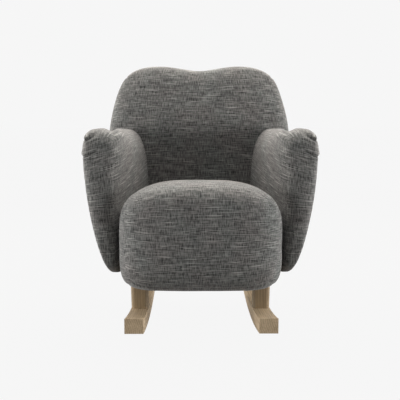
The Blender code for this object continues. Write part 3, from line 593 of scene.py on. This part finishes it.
# ---------------------------------------------------------------- timber and the rest
def timber(name, grain, light, dark, ring_scale=150.0, bend=0.0):
    """Wood whose grain runs along an axis: growth rings, pores and slow colour changes. A bend
    follows a board that is curved in the plane of y and z."""
    n = Nodes(name)
    places = n.add("ShaderNodeTexCoord").outputs["Object"]
    split = n.add("ShaderNodeSeparateXYZ")
    n.plug(places, split.inputs[0])
    x, y, z = split.outputs
    if bend:
        away = n.math("SUBTRACT", y, CONTACT_Y)
        rise = n.math("MULTIPLY", n.math("MULTIPLY", away, away), bend)
        z = n.math("SUBTRACT", z, rise)
    order = {"x": (y, z, x), "y": (x, z, y), "z": (x, y, z)}[grain]
    joined = n.add("ShaderNodeCombineXYZ")
    for value, socket in zip(order, joined.inputs):
        n.plug(value, socket)
    own = joined.outputs[0]

    wander = n.noise(own, (9.0, 9.0, 1.6), detail=2.0)
    sway = n.math("MULTIPLY", wander, 5.0)
    rings = n.math("ADD", n.math("MULTIPLY", order[0], ring_scale), sway)
    rings = n.math("ADD", rings, n.math("MULTIPLY", order[1], ring_scale * 0.22))
    wave = n.math("FRACT", rings)
    late = n.ramp(wave, 0.55, 0.98)
    late = n.math("MULTIPLY", late, n.ramp(wave, 1.0, 0.985))
    streak = n.noise(own, (260.0, 260.0, 6.0), detail=3.0, roughness=0.6)
    broad = n.noise(own, (34.0, 34.0, 2.2), detail=2.0)
    pores = n.noise(own, (1500.0, 1500.0, 36.0), detail=1.0)
    pore_mark = n.ramp(pores, 0.62, 0.74)

    share = n.math("ADD", n.math("MULTIPLY", late, 0.55), n.ramp(streak, 0.35, 0.70, 0.0, 0.45))
    share = n.math("ADD", share, n.ramp(broad, 0.35, 0.70, 0.0, 0.30), clamp=True)
    tone = n.blend(share, light, dark)
    deep = tuple(c * 0.45 for c in dark)
    tone = n.blend(n.math("MULTIPLY", pore_mark, 0.45), tone, deep)
    n.colour(tone)
    n.roughness(n.ramp(streak, 0.3, 0.7, 0.42, 0.62))
    relief = n.math("SUBTRACT", n.math("MULTIPLY", streak, 0.4), n.math("MULTIPLY", pore_mark, 0.6))
    n.bump(relief, 0.25, 0.0004)
    n.shader.inputs["Coat Weight"].default_value = 0.03
    n.shader.inputs["Coat Roughness"].default_value = 0.45
    return n.material


def webbing_weave():
    """Jute webbing: coarse threads both ways and a darker stripe pattern."""
    n = Nodes("jute_webbing")
    at = n.add("ShaderNodeTexCoord").outputs["Object"]
    across = n.noise(at, (500.0, 40.0, 500.0), detail=2.0)
    along = n.noise(at, (40.0, 500.0, 500.0), detail=2.0)
    level = n.math("MULTIPLY", n.math("ADD", across, along), 0.5)
    n.colour(n.blend(n.ramp(level, 0.38, 0.62), (0.12, 0.085, 0.05), (0.40, 0.31, 0.19)))
    n.roughness(n.ramp(level, 0.3, 0.7, 0.95, 0.82))
    n.bump(level, 0.6, 0.0010)
    return n.material


def black_lining():
    """Spun-bonded lining: matt black fibres with a dimpled surface."""
    n = Nodes("black_lining")
    at = n.add("ShaderNodeTexCoord").outputs["Object"]
    dimple = n.add("ShaderNodeTexVoronoi")
    n.plug(n.scaled(at, (600.0, 600.0, 600.0)), dimple.inputs["Vector"])
    fibre = n.noise(at, (220.0, 160.0, 300.0), detail=4.0, roughness=0.7)
    level = n.math("ADD", n.math("MULTIPLY", dimple.outputs["Distance"], 0.6), fibre)
    n.colour(n.blend(n.ramp(fibre, 0.35, 0.65), (0.012, 0.012, 0.013), (0.040, 0.040, 0.042)))
    n.roughness(n.ramp(fibre, 0.3, 0.7, 0.75, 0.95))
    n.bump(level, 0.4, 0.0006)
    return n.material


def zinc_steel():
    """Plated steel of bolts and screws, with fine turning marks and duller patches."""
    n = Nodes("zinc_steel")
    at = n.add("ShaderNodeTexCoord").outputs["Object"]
    marks = n.noise(at, (300.0, 300.0, 2400.0), detail=2.0)
    patch = n.noise(at, (120.0, 120.0, 120.0), detail=3.0)
    n.colour(n.blend(n.ramp(patch, 0.35, 0.65), (0.46, 0.46, 0.47), (0.66, 0.66, 0.65)))
    n.roughness(n.ramp(patch, 0.3, 0.7, 0.28, 0.50))
    n.bump(marks, 0.2, 0.0003)
    n.shader.inputs["Metallic"].default_value = 1.0
    return n.material


# ---------------------------------------------------------------- pieces
def block_seams(point, *paths):
    """Seams that run along paths on the cube, each on both sides of the block."""
    return [
        seam_line(point, [(side * x, y, z) for x, y, z in path])
        for path in paths
        for side in (-1, 1)
    ]


def held_by(distance, *others):
    """How firmly points are held: fully at a seam, and wherever another share says so."""
    held = np.exp(-((distance / SEAM_REACH) ** 2))
    for other in others:
        held = np.maximum(held, other)
    return np.clip(held, 0.0, 1.0)


def make_seat():
    obj, on_cube = padded_piece("seat", SEAT_GRID, seat_point, seat_weave)
    around_foot = [(0, -1, -1), (1, -1, -1), (1, 1, -1)]
    along_top = [(1, -0.8, 1), (1, 1, 1)]
    seams = block_seams(seat_point, around_foot, along_top)
    places = coordinates(obj)
    distance, _ = seam_field(places, seams)
    beside_arm = smooth(-0.27, -0.22, places[:, 1]) * smooth(0.90, 0.97, np.abs(on_cube[:, 0]))
    below = smooth(-0.90, -0.97, on_cube[:, 2])
    behind = smooth(0.90, 0.97, on_cube[:, 1])
    return obj, seams, held_by(distance, beside_arm, below, behind)


def make_back():
    obj, on_cube = padded_piece("back", BACK_GRID, back_point, back_weave)
    around_rear = [(1, 1, -1), (1, 1, 1), (0, 1, 1)]
    over_corner = [(1, 1, 1), (1, -0.3, 1)]
    seams = block_seams(back_point, around_rear, over_corner)
    places = coordinates(obj)
    distance, _ = seam_field(places, seams)
    ahead = smooth(-0.90, -0.97, on_cube[:, 1])
    by_seat = ahead * smooth(0.53, 0.47, places[:, 2])
    by_arm = ahead * smooth(0.70, 0.66, places[:, 2]) * smooth(0.17, 0.20, np.abs(places[:, 0]))
    below = smooth(-0.90, -0.97, on_cube[:, 2])
    return obj, seams, held_by(distance, by_seat, by_arm, below)


ARM_SEAMS = (
    [(-1, -1, -1), (-1, -1, 0.80), (-0.80, -1, 1), (0.05, 0, 1), (0.50, 1, 1)],
    [(1, -1, -1), (1, -1, 1), (1, 1, 1)],
)


def make_arm():
    """The right arm. The seam up its inner front edge runs on over the top, between two lobes."""
    obj, on_cube = padded_piece("arm_right", ARM_GRID, arm_point, arm_weave)
    seams = [seam_line(arm_point, corners) for corners in ARM_SEAMS]
    places = coordinates(obj)
    distance, _ = seam_field(places, seams)
    by_seat = smooth(-0.90, -0.97, on_cube[:, 0]) * smooth(0.56, 0.50, places[:, 2])
    behind = smooth(0.90, 0.97, on_cube[:, 1])
    return obj, seams, held_by(distance, by_seat, behind)


# Each pleat: height of its start at the arm's outer edge, length inwards, rise, and depth.
PLEATS = (
    (0.571, 0.044, 0.020, 0.0062),
    (0.621, 0.038, 0.016, 0.0048),
    (0.645, 0.040, 0.010, 0.0020),
)


def pleat(obj):
    """Folds of spare cloth that wrap round the arm's outer edge below its top front corner. Each
    is a lip that swells from above and drops off sharply into a crease."""
    places, outward = coordinates(obj), normals(obj)
    x, y, z = places.T
    inward = np.maximum(0.0, ARM_BOX[1].x - 0.010 - x)
    backward = np.maximum(0.0, y - ARM_FRONT - 0.012)
    push = np.zeros(len(places))
    for height, reach, rise, depth in PLEATS:
        above = z - height - rise * inward / 0.030 - 0.30 * backward
        lip = np.where(above > 0, np.exp(-np.maximum(above, 0.0) / 0.018), 0.0)
        crease = -np.exp(-(((above + 0.0032) / 0.0036) ** 2))
        fade = np.exp(-((inward / reach) ** 3)) * np.exp(-((backward / 0.070) ** 2))
        push += depth * (lip + crease) * fade
    set_coordinates(obj, places + outward * push[:, None])


def finish_padded(obj, replaced, material):
    obj.data.materials.append(material)
    subdivision = obj.modifiers.new("fine", "SUBSURF")
    subdivision.levels = 1
    subdivision.render_levels = 1
    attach(obj, "root")
    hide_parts(*replaced)


def mirrored_arm(arm):
    """The left arm, whose mesh is the right one's mirror image with its faces turned round."""
    mesh = arm.data.copy()
    mesh.name = "arm_left"
    bm = bmesh.new()
    bm.from_mesh(mesh)
    for vert in bm.verts:
        vert.co.x = -vert.co.x
    bmesh.ops.reverse_faces(bm, faces=bm.faces)
    bm.to_mesh(mesh)
    bm.free()
    twin = bpy.data.objects.new("arm_left", mesh)
    bpy.context.scene.collection.objects.link(twin)
    return twin


def make_padding():
    cloth = slub_weave("grey_slub_weave")
    seat, seat_seams, seat_held = make_seat()
    back, back_seams, back_held = make_back()
    arm, arm_seams, arm_held = make_arm()
    seat_limit, seat_stitch, seat_slack, seat_fill = SEAT_PADDING
    back_limit, back_stitch, back_slack, back_fill = BACK_PADDING
    arm_limit, arm_stitch, arm_slack, arm_fill = ARM_PADDING
    jobs = [
        (seat, seat_held, seat_limit),
        (back, back_held, back_limit),
        (arm, arm_held, arm_limit),
    ]
    swell(jobs)
    sew(seat, seat_seams, *seat_stitch)
    sew(back, back_seams, *back_stitch)
    sew(arm, arm_seams, *arm_stitch)
    pleat(arm)
    recess(seat)
    slack(seat, *seat_slack)
    slack(back, *back_slack)
    twin = mirrored_arm(arm)
    slack(arm, *arm_slack)
    slack(twin, *LEFT_ARM_SLACK)
    finish_padded(seat, ("seat_cover", "seat_foam"), cloth)
    finish_padded(back, ("back_cover", "back_foam_front", "back_foam_rear"), cloth)
    for obj, side in ((arm, "right"), (twin, "left")):
        replaced = [f"{stem}_{side}" for stem in ("arm_cover", "arm_foam_inner", "arm_foam_outer")]
        finish_padded(obj, replaced, cloth)
    return seat


def lining_half_width(y):
    share = (y - LINING_LOW.y) / (LINING_HIGH.y - LINING_LOW.y)
    return LINING_HIGH.x * mix(1.0, LINING_REAR_SHARE, share)


def recess(obj):
    """Draws the seat's underside up where the lining closes it."""
    places = coordinates(obj)
    x, y, z = places.T
    inside = smooth(0.012, 0.0, np.abs(x) - lining_half_width(y))
    inside = inside * smooth(0.012, 0.0, LINING_LOW.y - y) * smooth(0.012, 0.0, y - LINING_HIGH.y)
    low = z < SEAT_UNDERSIDE + 0.020
    places[:, 2] += LINING_SET_IN * inside * low
    set_coordinates(obj, places)


def make_dust_cover(seat, material):
    """The lining under the seat: one thin cloth that sags a little between its tacked edges."""
    tree = BVHTree.FromObject(seat, bpy.context.evaluated_depsgraph_get())
    bm = bmesh.new()
    bmesh.ops.create_grid(bm, x_segments=30, y_segments=36, size=1.0)
    for vert in bm.verts:
        across, along = vert.co.x, vert.co.y
        y = mix(LINING_LOW.y + LINING_FRONT_GAP, LINING_HIGH.y, (along + 1) / 2)
        x = across * lining_half_width(y)
        above = tree.ray_cast(Vector((x, y, -0.1)), Vector((0.0, 0.0, 1.0)))[0].z
        sag = 0.0024 * (1 - across**4) * (1 - along**4)
        tack = 0.0004 * math.cos(across * 38) * abs(along) ** 8
        vert.co = (x, y, above - 0.0010 - sag + tack)
    mesh = bpy.data.meshes.new("dust_lining")
    bm.to_mesh(mesh)
    bm.free()
    mesh.shade_smooth()
    mesh.materials.append(material)
    lining = bpy.data.objects.new("dust_lining", mesh)
    bpy.context.scene.collection.objects.link(lining)
    skin = lining.modifiers.new("thickness", "SOLIDIFY")
    skin.thickness = 0.0006
    skin.offset = 0.0
    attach(lining, "root")
    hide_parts("dust_cover")


def dress_nodes():
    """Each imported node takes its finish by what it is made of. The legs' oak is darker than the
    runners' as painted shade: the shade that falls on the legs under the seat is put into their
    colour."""
    oak_light, oak_dark = (0.68, 0.52, 0.335), (0.35, 0.25, 0.148)
    # Painted shade: the legs' tones are about half the runners' to stand for the shade under the
    # seat.
    leg_light_with_painted_shade, leg_dark_with_painted_shade = (0.36, 0.262, 0.152), (0.19, 0.132, 0.072)
    beech_light, beech_dark = (0.62, 0.47, 0.32), (0.48, 0.34, 0.22)
    ply_light, ply_dark = (0.66, 0.53, 0.37), (0.45, 0.32, 0.19)
    finishes = {
        "runner": timber("oak_runner", "y", oak_light, oak_dark, bend=0.5 / RUNNER_RADIUS),
        # The legs' oak carries painted shade in its colour.
        "leg": timber("oak_leg_painted_shade", "z", leg_light_with_painted_shade, leg_dark_with_painted_shade, ring_scale=120.0),
        "beech_long": timber("beech_rail", "x", beech_light, beech_dark),
        "beech_up": timber("beech_post", "z", beech_light, beech_dark),
        "plywood": timber("birch_plywood", "y", ply_light, ply_dark, ring_scale=660.0),
        "webbing": webbing_weave(),
        "lining": black_lining(),
        "steel": zinc_steel(),
    }
    for name, node in NODES.items():
        if "bolt" in name or "screw" in name:
            kind = "steel"
        elif "strap" in name:
            kind = "webbing"
        elif name.startswith("runner"):
            kind = "runner"
        elif name.startswith("leg"):
            kind = "leg"
        elif name.startswith("arm_panel"):
            kind = "plywood"
        elif name.startswith("back_post"):
            kind = "beech_up"
        elif name == "dust_cover":
            kind = "lining"
        else:
            kind = "beech_long"
        for index in range(len(node.data.materials)):
            node.data.materials[index] = finishes[kind]
    return finishes


# ---------------------------------------------------------------- stage
FLOOR_RADIUS = 40.0
FLOOR_DROP = 0.0005  # keeps the floor clear of the runners
FLOOR_GLOW = (0.910, 0.918)  # how bright the floor is seen, near the chair and far from it
GLOW_REACH = (1.0, 5.0)  # between which distances it changes
FLOOR_FILL = 0.26  # how much of its glow lights the chair
BACKDROP = (0.922, 0.922, 0.922, 1.0)  # the world as the camera sees it
WORLD_FILL = (0.18, 0.182, 0.184, 1.0)  # the world as it lights the chair
WHITE = (1.0, 1.0, 1.0)

# Each light: name, place, target, size, power in watts and colour.
LIGHTS = (
    ("overhead", (0.0, 1.25, 2.7), (0.0, 0.1, 0.4), (4.6, 1.6), 214.0, (1.0, 0.955, 0.90)),
    ("side_left", (-2.3, -0.45, 0.50), (0.0, -0.20, 0.35), (1.6, 1.0), 62.0, WHITE),
    ("side_right", (2.3, -0.45, 0.50), (0.0, -0.20, 0.35), (1.6, 1.0), 62.0, WHITE),
    ("rear", (0.0, 3.0, 1.4), (0.0, 0.2, 0.5), (2.4, 1.2), 9.0, WHITE),
    ("front", (0.0, -2.6, 2.4), (0.0, 0.0, 0.5), (2.4, 1.6), 16.0, WHITE),
)


def area_light(name, place, target, size, power, colour):
    data = bpy.data.lights.new(name, "AREA")
    data.shape = "RECTANGLE"
    data.size, data.size_y = size
    data.energy = power
    data.color = colour
    lamp = bpy.data.objects.new(name, data)
    lamp.location = place
    lamp.rotation_euler = (Vector(target) - Vector(place)).to_track_quat("-Z", "Y").to_euler()
    bpy.context.scene.collection.objects.link(lamp)


def make_stage():
    """A pale floor, a pale world and soft lights. The floor and the world are seen brighter than
    they light the chair."""
    bm = bmesh.new()
    bmesh.ops.create_circle(bm, cap_ends=True, segments=96, radius=FLOOR_RADIUS)
    mesh = bpy.data.meshes.new("floor")
    bm.to_mesh(mesh)
    bm.free()
    floor = bpy.data.objects.new("floor", mesh)
    floor.location.z = -FLOOR_DROP
    bpy.context.scene.collection.objects.link(floor)
    n = Nodes("pale_floor")
    n.shader.inputs["Base Color"].default_value = (0.006, 0.006, 0.006, 1.0)
    n.shader.inputs["Roughness"].default_value = 0.9
    n.shader.inputs["Specular IOR Level"].default_value = 0.0
    n.shader.inputs["Emission Color"].default_value = (1.0, 1.0, 1.0, 1.0)
    places = n.add("ShaderNodeTexCoord").outputs["Object"]
    reach = n.add("ShaderNodeVectorMath", operation="LENGTH")
    n.plug(places, reach.inputs[0])
    seen = n.add("ShaderNodeLightPath").outputs["Is Camera Ray"]
    glow = n.ramp(reach.outputs["Value"], *GLOW_REACH, *FLOOR_GLOW)
    share = n.ramp(seen, 0.0, 1.0, FLOOR_FILL, 1.0)
    n.plug(n.math("MULTIPLY", glow, share), n.shader.inputs["Emission Strength"])
    floor.data.materials.append(n.material)

    world = bpy.data.worlds.new("studio")
    bpy.context.scene.world = world
    world.use_nodes = True
    tree = world.node_tree
    tree.nodes.clear()
    seen = tree.nodes.new("ShaderNodeBackground")
    seen.inputs["Color"].default_value = BACKDROP
    fill = tree.nodes.new("ShaderNodeBackground")
    fill.inputs["Color"].default_value = WORLD_FILL
    path = tree.nodes.new("ShaderNodeLightPath")
    mixer = tree.nodes.new("ShaderNodeMixShader")
    out = tree.nodes.new("ShaderNodeOutputWorld")
    tree.links.new(path.outputs["Is Camera Ray"], mixer.inputs[0])
    tree.links.new(fill.outputs[0], mixer.inputs[1])
    tree.links.new(seen.outputs[0], mixer.inputs[2])
    tree.links.new(mixer.outputs[0], out.inputs[0])

    for light in LIGHTS:
        area_light(*light)


EYE_AHEAD = 2.2  # how far the eye stands before the chair's front
EYE_TO_MIDDLE = 2.6
EYE_HEIGHT = 0.704
EYE_SWING = math.radians(0.65)
EYE_PITCH = math.radians(6.5)
SENSOR, LENS = 36.0, 66.7


def make_camera():
    """The eye stands a little left of the chair's middle, above the arms, and looks slightly
    down."""
    data = bpy.data.cameras.new("camera")
    data.sensor_width = SENSOR
    data.lens = LENS
    camera = bpy.data.objects.new("camera", data)
    bpy.context.scene.collection.objects.link(camera)
    across = -math.sin(EYE_SWING) * EYE_TO_MIDDLE
    camera.location = (across, CAD_LOW.y - EYE_AHEAD, EYE_HEIGHT)
    camera.rotation_euler = Euler((math.pi / 2 - EYE_PITCH, 0.0, -EYE_SWING))
    bpy.context.scene.camera = camera
    bpy.context.scene.view_settings.view_transform = "Standard"


make_camera()
make_stage()
finishes = dress_nodes()
seat = make_padding()
make_dust_cover(seat, finishes["lining"])
